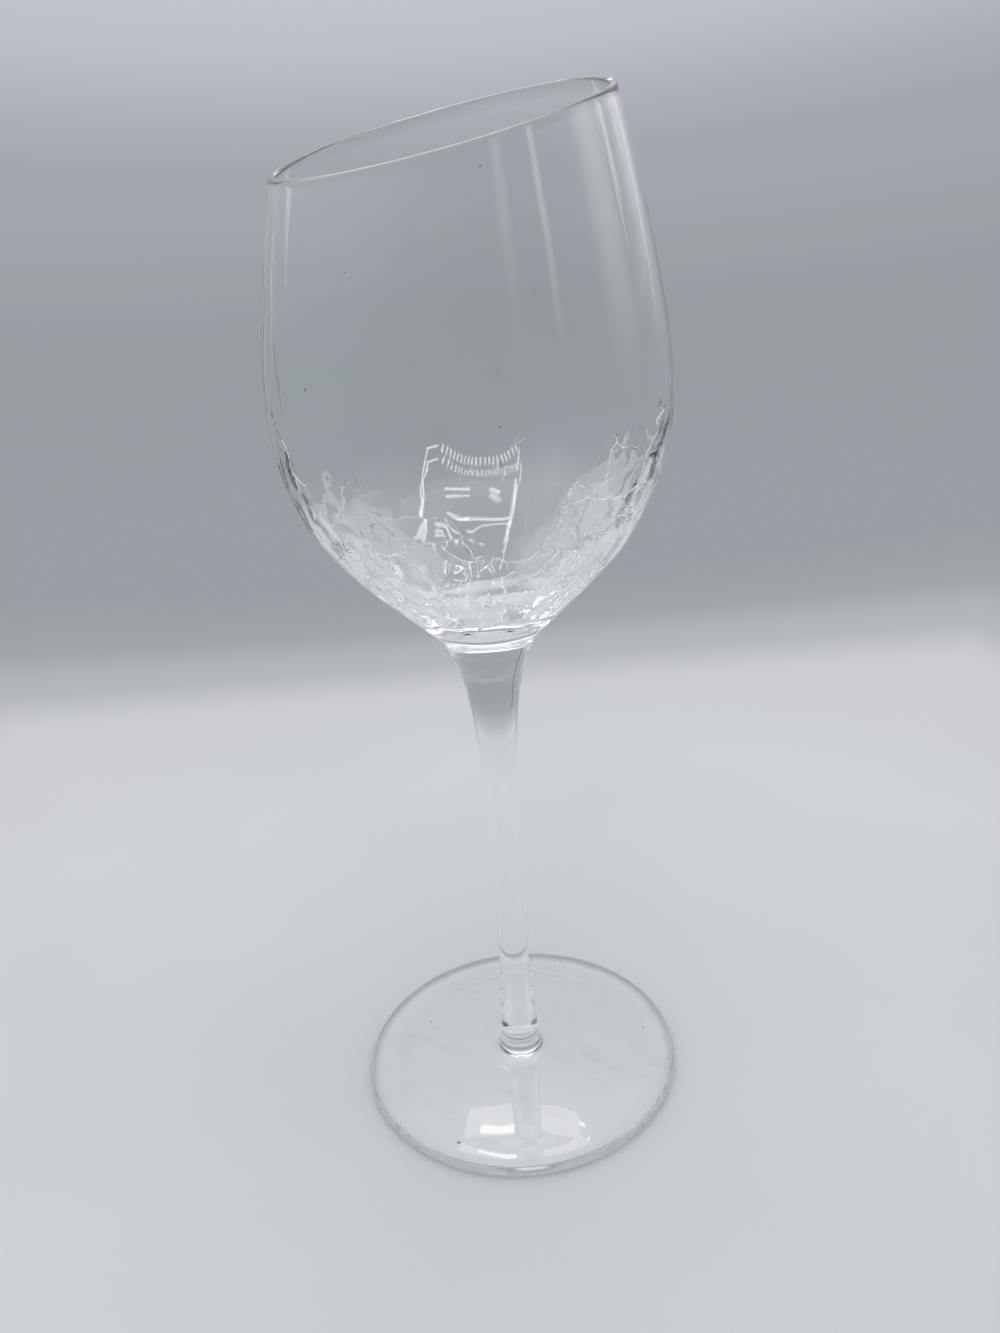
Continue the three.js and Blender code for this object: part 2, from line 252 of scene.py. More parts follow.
underside = [(rest_inner * r, foot_hollow_depth * d) for r, d in [
    (0, 1), (0.25, 0.88), (0.45, 0.76), (0.65, 0.62), (0.8, 0.5),
    (0.88, 0.41), (0.93, 0.28), (0.97, 0.1), (1, 0.02)]]
edge = [(foot_radius - edge_half + edge_half * math.cos(math.radians(d)),
         1.1 * edge_half + edge_half * math.sin(math.radians(d))) for d in range(-75, 76, 15)]
foot_top = [
    (foot_flare_radius + (foot_radius - foot_flare_radius) * r, foot_edge_thickness + foot_rise * h)
    for r, h in [(0.9, 0.035), (0.8, 0.075), (0.6, 0.17), (0.45, 0.245),
                 (0.33, 0.31), (0.18, 0.38), (0.08, 0.425), (0, 0.47)]]
flare = [(r, foot_edge_thickness + foot_rise * h) for r, h in [
    (8.6, 0.56), (7.4, 0.72), (6.3, 1.0), (5.55, 1.5), (5.1, 2.3)]]


def fixed_line(line):
    """Level rings for points given as height and radius."""
    for height, radius in line:
        fixed(radius, height)


def lay_rings():
    """Every ring, from the middle of the underside out and up, over the rim and down inside."""
    for radius, height in underside + [(rest_outer, 0)] + edge + foot_top + flare:
        fixed(radius, height)
    stem_line = smooth_line(lower_stem[1:] + upper_stem[1:-1] + [(joint_height, stem_top_radius)])
    fixed_line(every(cut_line(stem_line, 9.5, joint_height - 0.8), 2.0))
    fixed_line(every(cut_line(bowl_line, joint_height, joint_height + band_bottom), 0.9))
    below_band = len(rings) - 1
    fixed(float(bowl_radius(joint_height + band_top)), joint_height + band_top)
    for share in np.linspace(0, 1, slant_rings)[:-1]:
        slanted(share, bowl_radius)
    for step in range(lip_steps + 1):
        lip(math.pi * step / lip_steps)
    for share in np.linspace(1, 0, slant_rings)[1:]:
        slanted(share, inner_radius)
    inside = len(rings)
    fixed_line(every(cut_line(inner_line, floor_level + corner_rise, slant_start - 0.8), 1.6)[::-1])
    for share_r, share_h in [(0.5, 0.42), (0, 0.2)]:
        fixed(floor_radius + (corner_radius - floor_radius) * share_r, floor_level + corner_rise * share_h)
    for radius, height in [(4.5, 0.07), (2, 0.01), (0, 0)]:
        fixed(radius, floor_level + corner_rise * height)
    return below_band, inside


band_bottom_ring, inside_start = lay_rings()
band_top_ring = band_bottom_ring + 1
inside_end = len(rings) - 6         # the rings past this one make the floor of the bowl


def placed(name, data):
    """A new object with its data, put in the scene."""
    made = bpy.data.objects.new(name, data)
    bpy.context.collection.objects.link(made)
    return made


def select_only(piece):
    bpy.ops.object.select_all(action="DESELECT")
    piece.select_set(True)
    bpy.context.view_layer.objects.active = piece


def open_mesh(piece):
    """Opens a piece for editing, with all of its mesh selected."""
    select_only(piece)
    bpy.ops.object.mode_set(mode="EDIT")
    bpy.ops.mesh.select_all(action="SELECT")


def close_mesh():
    bpy.ops.object.mode_set(mode="OBJECT")


def chain(count):
    return [(i, i + 1) for i in range(count - 1)]


def spun(name, mesh, steps, merge_gap):
    """A new piece: the chain of edges in its mesh, spun about Z and closed where its ends meet."""
    piece = placed(name, mesh)
    open_mesh(piece)
    bpy.ops.mesh.spin(steps=steps, angle=2 * math.pi, center=(0, 0, 0), axis=(0, 0, 1))
    bpy.ops.mesh.select_all(action="SELECT")
    bpy.ops.mesh.remove_doubles(threshold=merge_gap)
    close_mesh()
    return piece


def turned_body():
    """The profile as a chain of edges, spun about Z, then each ring brought to its own slanted place."""
    zero = np.zeros(1)
    mesh = bpy.data.meshes.new("wine glass")
    flat = [tuple(float(v[0]) for v in place(zero)) for place in rings]
    mesh.from_pydata([(r * MM, 0, z * MM) for r, z in flat], chain(len(flat)), [])
    order = mesh.attributes.new("ring", "INT", "POINT")
    order.data.foreach_set("value", list(range(len(flat))))
    body = spun("wine_glass_body", mesh, sides, 1e-6)
    count = len(mesh.vertices)
    ring = np.zeros(count, int)
    mesh.attributes["ring"].data.foreach_get("value", ring)
    spot = np.zeros(count * 3)
    mesh.vertices.foreach_get("co", spot)
    spot = spot.reshape(-1, 3)
    angle = np.arctan2(spot[:, 1], spot[:, 0])
    turn = 2 * math.pi / sides
    angle = np.round(angle / turn) * turn
    for number, place in enumerate(rings):
        here = ring == number
        radius, height = place(angle[here])
        if np.max(radius) > 0:
            if inside_start <= number < inside_end:
                radius = radius + inner_ripple(angle[here], height)
            across, along = radius * np.cos(angle[here]), radius * np.sin(angle[here])
            spot[here] = np.column_stack([across, along, height]) * MM
    mesh.vertices.foreach_set("co", spot.ravel())
    return body, ring


def waves(angle, height, seed, wavelength):
    """A soft random wave over the bowl, from -1 to 1 or so, that closes on itself round the bowl."""
    own = np.random.default_rng(seed)
    total = np.zeros_like(np.asarray(angle, float))
    for _ in range(14):
        size = own.uniform(0.7, 1.5) * wavelength
        way = own.uniform(0, 2 * math.pi)
        lobes = round(2 * math.pi * ripple_radius / size * math.cos(way))
        climb = 2 * math.pi / size * math.sin(way)
        total = total + np.sin(lobes * angle + climb * height + own.uniform(0, 6.28))
    return total / 3.7


def band_share(height):
    """1 in the cracked band, fading to 0 above and below it."""
    low = np.clip((height - joint_height - 3) / 8, 0, 1)
    high = np.clip((joint_height + 56 - height) / 14, 0, 1)
    return low * high


def round_from(angle, middle):
    """How far an angle is from the middle of a face, from -pi to pi."""
    return (np.asarray(angle) - middle + math.pi) % (2 * math.pi) - math.pi


def clear_share(angle, above):
    """1 where the net is wide open: high in the middle of the viewed face, and of the one behind it."""
    far, near = round_from(angle, back_middle), round_from(angle, front_middle)
    flanks = 0.75 * (np.exp(-((far - 1.15) / 0.4) ** 4) + np.exp(-((far + 1.15) / 0.4) ** 4))
    back = np.exp(-(far / 0.8) ** 4) * np.clip((above - 9) / 5, 0, 1)
    front = np.exp(-(near / 0.5) ** 4) * np.clip((above - 12) / 5, 0, 1)
    return np.maximum(np.maximum(back, front), flanks * np.clip((above - 15) / 5, 0, 1))


def calm_share(angle, height):
    """How much of the waves is left: little where the net is wide open."""
    return 1 - 0.93 * clear_share(angle, height - joint_height)


def inner_ripple(angle, height):
    return inner_ripple_height * waves(angle, height, 5, 11) * band_share(height) * calm_share(angle, height)


# ---------------- the crack net
# Cracks are drawn on a map of the bowl: angle in radians across, and up it the distance along the wall
# divided by the radius, so that a short step on the map is the same step on the glass in every direction.

chart_heights = np.linspace(joint_height + 1, joint_height + 70, 2800)
chart_radii = bowl_radius(chart_heights)
wall_steps = np.hypot(np.diff(chart_heights), np.diff(chart_radii))
wall_steps = wall_steps / ((chart_radii[1:] + chart_radii[:-1]) / 2)
chart_rise = np.concatenate([[0], np.cumsum(wall_steps)])


def rise_of(height_above_joint):
    return np.interp(np.asarray(height_above_joint) + joint_height, chart_heights, chart_rise)


def height_of(rise):
    return np.interp(rise, chart_rise, chart_heights)


def radius_of(rise):
    return np.interp(rise, chart_rise, chart_radii)


def on_wall(angle, rise):
    height, radius = height_of(rise), radius_of(rise)
    return np.column_stack([radius * np.cos(angle), radius * np.sin(angle), height])


def net_top(angle):
    """How high the cracks reach, above the joint: lowest on the side turned to the viewer."""
    aside = np.cos(angle - math.radians(32))
    return 41 + 3 * aside - 7 * aside ** 2 + 2.2 * np.sin(3 * angle + 1) + 1.5 * np.sin(7 * angle)


def jagged(line, roughness):
    """A drawn line with small irregular steps added, its points about a groove step apart."""
    pts = np.array(line, float)
    while True:
        gaps = np.hypot(*np.diff(pts, axis=0).T) * radius_of(pts[:-1, 1])
        if gaps.max() <= groove_step * 1.3:
            return pts
        out = [pts[0]]
        for (a, b), gap in zip(zip(pts[:-1], pts[1:]), gaps):
            if gap > groove_step * 1.3:
                along = b - a
                across = np.array([-along[1], along[0]])
                out.append((a + b) / 2 + across * rng.normal(0, roughness))
            out.append(b)
        pts = np.array(out)


class Net:
    """The cracks laid so far, each a line on the map with its own width, depth and lean."""

    def __init__(self):
        self.lines = []
        self.points = np.zeros((0, 3))

    def add(self, line, half_width, depth, free_start=True, free_end=True):
        if len(line) < 3:
            return
        lean = rng.uniform(-1, 1)
        self.lines.append({"line": np.array(line), "half": half_width, "depth": depth, "lean": lean,
                           "free": (free_start, free_end)})
        self.points = np.vstack([self.points, on_wall(*np.array(line).T)])

    def nearest(self, angle, rise):
        spot = on_wall(np.array([angle]), np.array([rise]))[0]
        far = np.linalg.norm(self.points - spot, axis=1)
        index = int(np.argmin(far))
        return float(far[index]), self.points[index]

    def grow(self, angle, rise, way, longest):
        """A crack that runs from a spot until it meets another, leaves the band or is long enough."""
        line, walked, met = [(angle, rise)], 0.0, False
        while walked < longest:
            radius = float(radius_of(rise))
            way += rng.normal(0, 0.07)
            if rng.random() < 0.08:
                way += rng.choice([-1, 1]) * rng.uniform(0.4, 0.9)
            angle += groove_step * math.cos(way) / radius
            rise += groove_step * math.sin(way) / radius
            walked += groove_step
            above = float(height_of(rise)) - joint_height
            if above < 7.6 or above > net_top(angle):
                break
            if walked > 2 * groove_step:
                gap, spot = self.nearest(angle, rise)
                if gap < 0.8 * groove_step:
                    turn = math.atan2(spot[1], spot[0])
                    turn += 2 * math.pi * round((angle - turn) / (2 * math.pi))
                    line.append((turn, float(np.interp(spot[2], chart_heights, chart_rise))))
                    met = True
                    break
            line.append((angle, rise))
        return line, met

    def grow_both(self, angle, rise, way, shortest, longest):
        """A crack that runs both ways from a spot, and whether its start and its end are free."""
        one, met_one = self.grow(angle, rise, way, rng.uniform(shortest, longest))
        two, met_two = self.grow(angle, rise, way + math.pi, rng.uniform(shortest, longest))
        return two[::-1] + one[1:], not met_two, not met_one


def add_viewed_cracks():
    for line in viewed_cracks:
        drawn = [(math.radians(d), float(rise_of(h))) for d, h in line]
        net.add(jagged(drawn, 0.09), rng.uniform(0.14, 0.21), rng.uniform(0.34, 0.55))


def add_far_cracks():
    """Long cracks round the far side."""
    for number in range(far_seeds):
        angle = math.radians(rng.uniform(284, 502))
        above = 9 + (net_top(angle) - 11) * rng.random()
        rise = float(rise_of(above))
        if net.nearest(angle, rise)[0] < 7 or clear_share(angle, above) > 0.4:
            continue
        if number % 2:
            way = rng.choice([0, math.pi]) + rng.normal(0, 0.4)
        else:
            way = math.pi / 2 + rng.normal(0, 0.5)
        line, *free = net.grow_both(angle, rise, way, 25, 55)
        net.add(line, rng.uniform(0.09, 0.15), rng.uniform(0.18, 0.36), *free)


def add_filling_cracks():
    """Shorter cracks wherever the glass between cracks is still wide, closer together low down."""
    for _ in range(filling_seeds):
        angle = rng.uniform(0, 2 * math.pi)
        above = 8 + (net_top(angle) - 8.5) * rng.random() ** 1.15
        rise = float(rise_of(above))
        openness = clear_share(angle, above)
        room = (3.1 + 6.2 * np.clip((above - 12) / 18, 0, 1)) * (1 + 2.2 * openness)
        if net.nearest(angle, rise)[0] < room * rng.uniform(0.9, 1.35):
            continue
        flat_way = rng.random() < (0.72 if above < 20 else 0.45)
        way = (0 if flat_way else math.pi / 2) + rng.normal(0, 0.45)
        line, *free = net.grow_both(angle, rise, way, 8, 26)
        strong = rng.random()
        faint = 1 - 0.55 * openness
        net.add(line, 0.05 + 0.06 * strong, (0.08 + 0.2 * strong) * faint, *free)


def add_hairlines():
    """Hairlines that start at a crack and die out in the glass beside it."""
    for _ in range(hairlines):
        spot = net.points[rng.integers(len(net.points))]
        angle, rise = math.atan2(spot[1], spot[0]), float(np.interp(spot[2], chart_heights, chart_rise))
        line, met = net.grow(angle, rise, rng.uniform(0, 2 * math.pi), rng.uniform(2.5, 7))
        net.add(line, 0.055, rng.uniform(0.08, 0.16), False, not met)


net = Net()
add_viewed_cracks()
add_far_cracks()
add_filling_cracks()
add_hairlines()


def groove_samples():
    """Each point of each crack: its place, the way across, half width, depth and lean."""
    rows = []
    for crack in net.lines:
        line = crack["line"]
        radius = radius_of(line[:, 1])
        steps = np.hypot(*np.diff(line, axis=0).T) * (radius[1:] + radius[:-1]) / 2
        walked = np.concatenate([[0], np.cumsum(steps)])
        fade = np.ones(len(line))
        if crack["free"][0]:
            fade = np.minimum(fade, 0.08 + walked / 3)
        if crack["free"][1]:
            fade = np.minimum(fade, 0.08 + (walked[-1] - walked) / 3)
        along = np.gradient(line, axis=0)
        along /= np.maximum(np.linalg.norm(along, axis=1, keepdims=True), 1e-12)
        rough = 0.75 + 0.5 * np.abs(np.sin(walked * 0.9 + crack["lean"] * 9)) * rng.uniform(0.7, 1)
        lean = crack["lean"] * (0.6 + 0.4 * np.sin(walked * 0.35 + crack["depth"] * 7))
        half = crack["half"] * (0.45 + 0.55 * fade) * rough
        rows.append(np.column_stack([line, -along[:, 1], along[:, 0], half, crack["depth"] * fade, lean]))
    return np.vstack(rows)


samples = groove_samples()
groove_tree = kdtree.KDTree(len(samples))
for index, spot in enumerate(on_wall(samples[:, 0], samples[:, 1])):
    groove_tree.insert(spot, index)
groove_tree.balance()
low, high = float(rise_of(band_bottom)), float(rise_of(band_top))


def wrapped(angle):
    return (angle - seam) % (2 * math.pi)


def map_points():
    """Points and fixed edges of the band's map, from one side of the seam round to the other."""
    points, edges = [], []
    turn = 2 * math.pi / sides
    for k in range(sides + 1):
        points += [(k * turn, low), (k * turn, high)]
    count = int(round((high - low) / turn))
    for k in range(1, count):
        rise = low + (high - low) * k / count
        points += [(0.0, rise), (2 * math.pi, rise)]
    for crack in net.lines:
        last = None
        for angle, rise in crack["line"]:
            at = wrapped(angle)
            margin = 0.5 / float(radius_of(rise))
            if not (margin < at < 2 * math.pi - margin and low + 0.01 < rise < high - 0.01):
                last = None
                continue
            points.append((at, rise))
            here = len(points) - 1
            if last is not None and abs(points[last][0] - at) < 1:
                edges.append((last, here))
            last = here
    return points, edges


def shoulder_points():
    """Points on both sides of each groove, at its edge and just past it, where no other groove is nearer."""
    spots, gaps, points = [], [], []
    for angle, rise, across_angle, across_rise, half, *_ in samples:
        radius = float(radius_of(rise))
        for side in (-1, 1):
            for reach in (half, half + shoulder_width):
                gap = reach * side / radius
                spots.append((angle + across_angle * gap, rise + across_rise * gap))
                gaps.append(reach)
    for (angle, rise), gap, spot in zip(spots, gaps, on_wall(*np.array(spots).T)):
        if groove_tree.find(spot)[2] < gap * 0.86:
            continue
        at = wrapped(angle)
        margin = 0.3 / float(radius_of(rise))
        if margin < at < 2 * math.pi - margin and low + 0.012 < rise < high - 0.012:
            points.append((at, rise))
    return points


def pad_points():
    """Loose points over the pads between the cracks, in staggered rows."""
    points = []
    rise, row = low, 0
    radius = float(radius_of(rise))
    while True:
        rise += 0.866 * pad_point_gap / radius
        row += 1
        if rise > high - 0.6 * pad_point_gap / radius:
            return points
        radius = float(radius_of(rise))
        across = int(round(2 * math.pi * radius / pad_point_gap))
        for k in range(across):
            at = (k + 0.5 * (row % 2)) / across * 2 * math.pi + rng.normal(0, 0.1) * pad_point_gap / radius
            if not 0.5 * pad_point_gap / radius < at < 2 * math.pi - 0.5 * pad_point_gap / radius:
                continue
            here = rise + rng.normal(0, 0.1) * pad_point_gap / radius
            spot = on_wall(np.array([at + seam]), np.array([here]))[0]
            if groove_tree.find(spot)[2] > clear_of_grooves:
                points.append((at, here))


points, edges = map_points()
points += shoulder_points() + pad_points()
flat_points = [Vector(p) for p in points]
flat_spots, _, flat_faces, *_ = geometry.delaunay_2d_cdt(flat_points, edges, [], 0, 2e-5, False)
map_spots = np.array([tuple(spot) for spot in flat_spots])
map_faces = [tuple(face) for face in flat_faces]


def carved_band():
    """The map laid back on the bowl, sunk at the cracks, with the pads between them softly domed."""
    angle, rise = map_spots[:, 0] + seam, map_spots[:, 1]
    on_border = (np.abs(rise - low) < 1e-5) | (np.abs(rise - high) < 1e-5)
    spots = on_wall(angle, rise)
    height = height_of(rise)
    slope = bowl_slope(height)
    size = np.hypot(1, slope)
    outward = np.column_stack([np.cos(angle) / size, np.sin(angle) / size, -slope / size])
    around = np.column_stack([-np.sin(angle), np.cos(angle), np.zeros(len(angle))])
    upward = np.cross(around, outward)
    upward *= np.sign(upward[:, 2:3])
    sunk, crack, gap_of = np.zeros((3, len(spots)))
    aside = np.zeros((len(spots), 3))
    for i, spot in enumerate(spots):
        near = groove_tree.find_n(spot, 3)
        gap_of[i] = near[0][2]
        best = None
        for _, index, gap in near:
            half, depth = samples[index, 4], samples[index, 5]
            share = max(0.0, 1 - gap / max(half, 1e-6)) if gap > 0.02 else 1.0
            if best is None or share * depth > best[0]:
                best = (share * depth, share, index)
        sunk[i], share, index = best
        across = samples[index, 2] * around[i] + samples[index, 3] * upward[i]
        aside[i] = across * samples[index, 6] * sunk[i] * 0.75
        crack[i] = share * min(1.0, samples[index, 5] / full_crack_depth)
    pad = 1 - np.exp(-(gap_of / 1.7) ** 1.5)
    rolling = 0.13 * waves(angle, height, 9, 13) + 0.035 * waves(angle, height, 12, 5)
    swell = (0.09 * (pad - 1) + rolling * calm_share(angle, height)) * band_share(height)
    spots = spots + outward * (swell - sunk)[:, None] + aside
    exact = on_wall(np.round((angle - seam) / (2 * math.pi / sides)) * 2 * math.pi / sides + seam, rise)
    spots[on_border] = exact[on_border]
    crack[on_border] = 0
    return spots, crack


# ---------------- the glass, closed up

def joined_glass():
    """The turned body with its plain band taken out and the cracked one put in, as one closed skin."""
    band_spots, band_crack = carved_band()
    body, ring = turned_body()
    mesh = body.data
    open_mesh(body)
    bpy.ops.mesh.select_mode(type="FACE")
    bpy.ops.mesh.select_all(action="DESELECT")
    close_mesh()
    for face in mesh.polygons:
        face.select = {int(ring[v]) for v in face.vertices} == {band_bottom_ring, band_top_ring}
    bpy.ops.object.mode_set(mode="EDIT")
    bpy.ops.mesh.delete(type="ONLY_FACE")
    bpy.ops.mesh.select_mode(type="EDGE")
    bpy.ops.mesh.select_all(action="SELECT")
    bpy.ops.mesh.delete_loose(use_verts=False, use_edges=True, use_faces=False)
    close_mesh()

    band_mesh = bpy.data.meshes.new("cracked band")
    band_mesh.from_pydata([tuple(p) for p in band_spots * MM], [], map_faces)
    crack = band_mesh.attributes.new("crack", "FLOAT", "POINT")
    crack.data.foreach_set("value", band_crack.astype(np.float32))
    band = placed("cracked_band", band_mesh)
    select_only(body)
    band.select_set(True)
    bpy.ops.object.join()
    open_mesh(body)
    bpy.ops.mesh.select_mode(type="VERT")
    bpy.ops.mesh.remove_doubles(threshold=2e-6)
    bpy.ops.mesh.select_all(action="SELECT")
    bpy.ops.mesh.normals_make_consistent(inside=False)
    close_mesh()
    body.name = "cracked_wine_glass"
    select_only(body)
    bpy.ops.object.shade_smooth_by_angle(angle=math.radians(32))
    return body


glass = joined_glass()


# ---------------- nodes

def new_material(name):
    material = bpy.data.materials.new(name)
    material.use_nodes = True
    material.node_tree.nodes.clear()
    return material, material.node_tree


def node(tree, kind, sockets=None, **settings):
    """A node with its settings. Each socket named gets a plain value, or the output that feeds it."""
    made = tree.nodes.new(kind if kind.startswith("NodeGroup") else "ShaderNode" + kind)
    for key, value in settings.items():
        setattr(made, key, value)
    for key, value in (sockets or {}).items():
        if isinstance(value, bpy.types.NodeSocket):
            tree.links.new(value, made.inputs[key])
        else:
            made.inputs[key].default_value = value
    return made


def worked_out(tree, operation, *values):
    return node(tree, "Math", dict(enumerate(values)), operation=operation).outputs[0]


def between(tree, value, low, high, first=0, last=1, curve="LINEAR"):
    """Goes from first to last while a value goes from low to high."""
    sockets = {"Value": value, "From Min": low, "From Max": high, "To Min": first, "To Max": last}
    return node(tree, "MapRange", sockets, interpolation_type=curve).outputs["Result"]


def noise(tree, place, scale, detail=2, roughness=0.5):
    sockets = {"Vector": place, "Scale": scale, "Detail": detail, "Roughness": roughness}
    return node(tree, "TexNoise", sockets).outputs["Fac"]


def mixed_colour(tree, share, first, second, **settings):
    sockets = {"Factor": share, "A": first, "B": second}
    return node(tree, "Mix", sockets, data_type="RGBA", **settings).outputs["Result"]


def mixed_shader(tree, share, first, second):
    return node(tree, "MixShader", {0: share, 1: first, 2: second}).outputs["Shader"]


def ramp(tree, source, stops):
    """A soft colour ramp through (spot, red, green, blue)."""
    made = node(tree, "ValToRGB", {"Fac": source})
    made.color_ramp.interpolation = "EASE"
    while len(made.color_ramp.elements) < len(stops):
        made.color_ramp.elements.new(0.5)
    for element, (spot, *colour) in zip(made.color_ramp.elements, stops):
        element.position = spot
        element.color = (*colour, 1)
    return made.outputs["Color"]


# ---------------- glass material

clean_colour = (0.995, 1.0, 1.0, 1)
smudge_colour = (0.93, 0.935, 0.94, 1)
wipe_colour = (0.9, 0.905, 0.915, 1)
speck_colour = (0.08, 0.075, 0.07, 1)
clean_roughness = 0.004
smudge_roughness = 0.16

# Specks of dirt: (degrees, height above the floor, size) on the bowl, (degrees, radius, size) on the foot
bowl_specks = [(166, 173, 0.3), (217, 205, 0.2), (20, 158, 0.3), (290, 181, 0.25), (75, 196, 0.25)]
foot_specks = [(182, 35, 0.5), (304, 33, 0.3), (95, 27, 0.35), (8, 36, 0.3)]
foot_speck_level = 2.75


def dirt_specks():
    """Each speck as its x, y, z and size."""
    specks = [(float(bowl_radius(z)), d, z, size) for d, z, size in bowl_specks]
    specks += [(r, d, foot_speck_level, size) for d, r, size in foot_specks]
    return [(r * math.cos(math.radians(d)), r * math.sin(math.radians(d)), z, size)
            for r, d, z, size in specks]


def blown_skin():
    """Fire-polished glass that has been handled: soft waves, smudges, wipe marks and specks."""
    group = bpy.data.node_groups.new("blown skin", "ShaderNodeTree")
    for name, side, kind in (("Wave size", "INPUT", "Float"), ("Smudges", "INPUT", "Float"),
                             ("Colour", "OUTPUT", "Color"), ("Roughness", "OUTPUT", "Float"),
                             ("Height", "OUTPUT", "Float")):
        group.interface.new_socket(name, in_out=side, socket_type="NodeSocket" + kind)
    given = node(group, "NodeGroupInput").outputs
    place = node(group, "TexCoord").outputs["Object"]
    smudges = between(group, noise(group, place, 90, 5, 0.65), 0.58, 0.78)
    smudges = worked_out(group, "MULTIPLY", smudges, given["Smudges"])
    roughness = worked_out(group, "MULTIPLY_ADD", smudges, smudge_roughness, clean_roughness)
    colour = mixed_colour(group, smudges, clean_colour, smudge_colour)
    # Wipe marks run one way across the foot, and fade out just above it
    wipe_way = {"Vector": place, "Rotation": (0, 0, math.radians(38)), "Scale": (3.6, 1, 1)}
    stretched = node(group, "Mapping", wipe_way).outputs["Vector"]
    wipes = between(group, noise(group, stretched, 62, 4, 0.62), 0.56, 0.74)
    level = node(group, "SeparateXYZ", {0: place}).outputs["Z"]
    wipes = worked_out(group, "MULTIPLY", wipes, between(group, level, 9 * MM, 6 * MM))
    colour = mixed_colour(group, wipes, colour, wipe_colour)
    for x, y, z, size in dirt_specks():
        spot = {0: place, 1: (x * MM, y * MM, z * MM)}
        gap = node(group, "VectorMath", spot, operation="DISTANCE").outputs["Value"]
        colour = mixed_colour(group, between(group, gap, size * MM, size * 0.6 * MM), colour, speck_colour)
    height = worked_out(group, "MULTIPLY", noise(group, place, 55, 1.5), given["Wave size"])
    node(group, "NodeGroupOutput", {"Colour": colour, "Roughness": roughness, "Height": height})
    return group


skin_group = blown_skin()


def crackled_glass(name, clear_weight, crack_roughness, colour):
    """Glass in its blown skin, rougher where it is cracked."""
    material, tree = new_material(name)
    skin = node(tree, "Group", node_tree=skin_group)
    skin.inputs["Wave size"].default_value = 0.35
    skin.inputs["Smudges"].default_value = 1
    skin = skin.outputs
    crack = node(tree, "Attribute", attribute_name="crack").outputs["Fac"]
    bump = node(tree, "Bump", {"Distance": 0.0003, "Strength": 0.6, "Height": skin["Height"]})
    shader = node(tree, "BsdfPrincipled", {
        "Transmission Weight": clear_weight, "IOR": 1.5, "Metallic": 0,
        "Base Color": mixed_colour(tree, 1, skin["Colour"], colour, blend_type="MULTIPLY"),
        "Roughness": worked_out(tree, "MULTIPLY_ADD", crack, crack_roughness, skin["Roughness"]),
        "Normal": bump.outputs["Normal"]})
    node(tree, "OutputMaterial", {"Surface": shader.outputs["BSDF"]})
    return material


def finish_glass():
    """Clear glass all over, and the broken face of the glass on the walls of the deeper cracks."""
    glass.data.materials.clear()
    glass.data.materials.append(crackled_glass("clear crackled glass", 1, 0.1, (1, 1, 1, 1)))
    glass.data.materials.append(crackled_glass("broken glass face", 0.18, 0.3, (0.98, 0.99, 1, 1)))
    crack_share = np.zeros(len(glass.data.vertices), np.float32)
    glass.data.attributes["crack"].data.foreach_get("value", crack_share)
    for face in glass.data.polygons:
        if len(face.vertices) == 3 and np.mean(crack_share[list(face.vertices)]) > broken_face_share:
            face.material_index = 1


finish_glass()
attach(glass, "root")
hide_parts("wine_glass")


# ---------------- floor and backdrop

floor_reach = 300
wall_reach = 378
wall_top = 420
tent_top = 640
floor_tone = (0.605, 0.62, 0.648)
wall_grey = (0.318, 0.345, 0.37)
at_least_once = 0.5                 # for counts of how often light has bounced


def backdrop():
    """A round floor that curves up into a wall and closes above, turned about the glass."""
    line = [(r, 0) for r in (0, 60, 120, 200, floor_reach)]
    cove = wall_reach - floor_reach
    line += [(floor_reach + cove * math.sin(t), cove * (1 - math.cos(t)))
             for t in np.linspace(0.15, math.pi / 2, 10)]
    line += [(wall_reach, z) for z in range(120, wall_top + 1, 60)]
    line += [(wall_reach * math.cos(t), wall_top + (tent_top - wall_top) * math.sin(t))
             for t in np.linspace(0.15, math.pi / 2, 12)]
    mesh = bpy.data.meshes.new("backdrop")
    mesh.from_pydata([(r * MM, 0, (z - 0.02) * MM) for r, z in line], chain(len(line)), [])
    sweep = spun("backdrop", mesh, 96, 1e-5)
    open_mesh(sweep)
    bpy.ops.mesh.normals_make_consistent(inside=True)
    close_mesh()
    bpy.ops.object.shade_smooth()
    return sweep


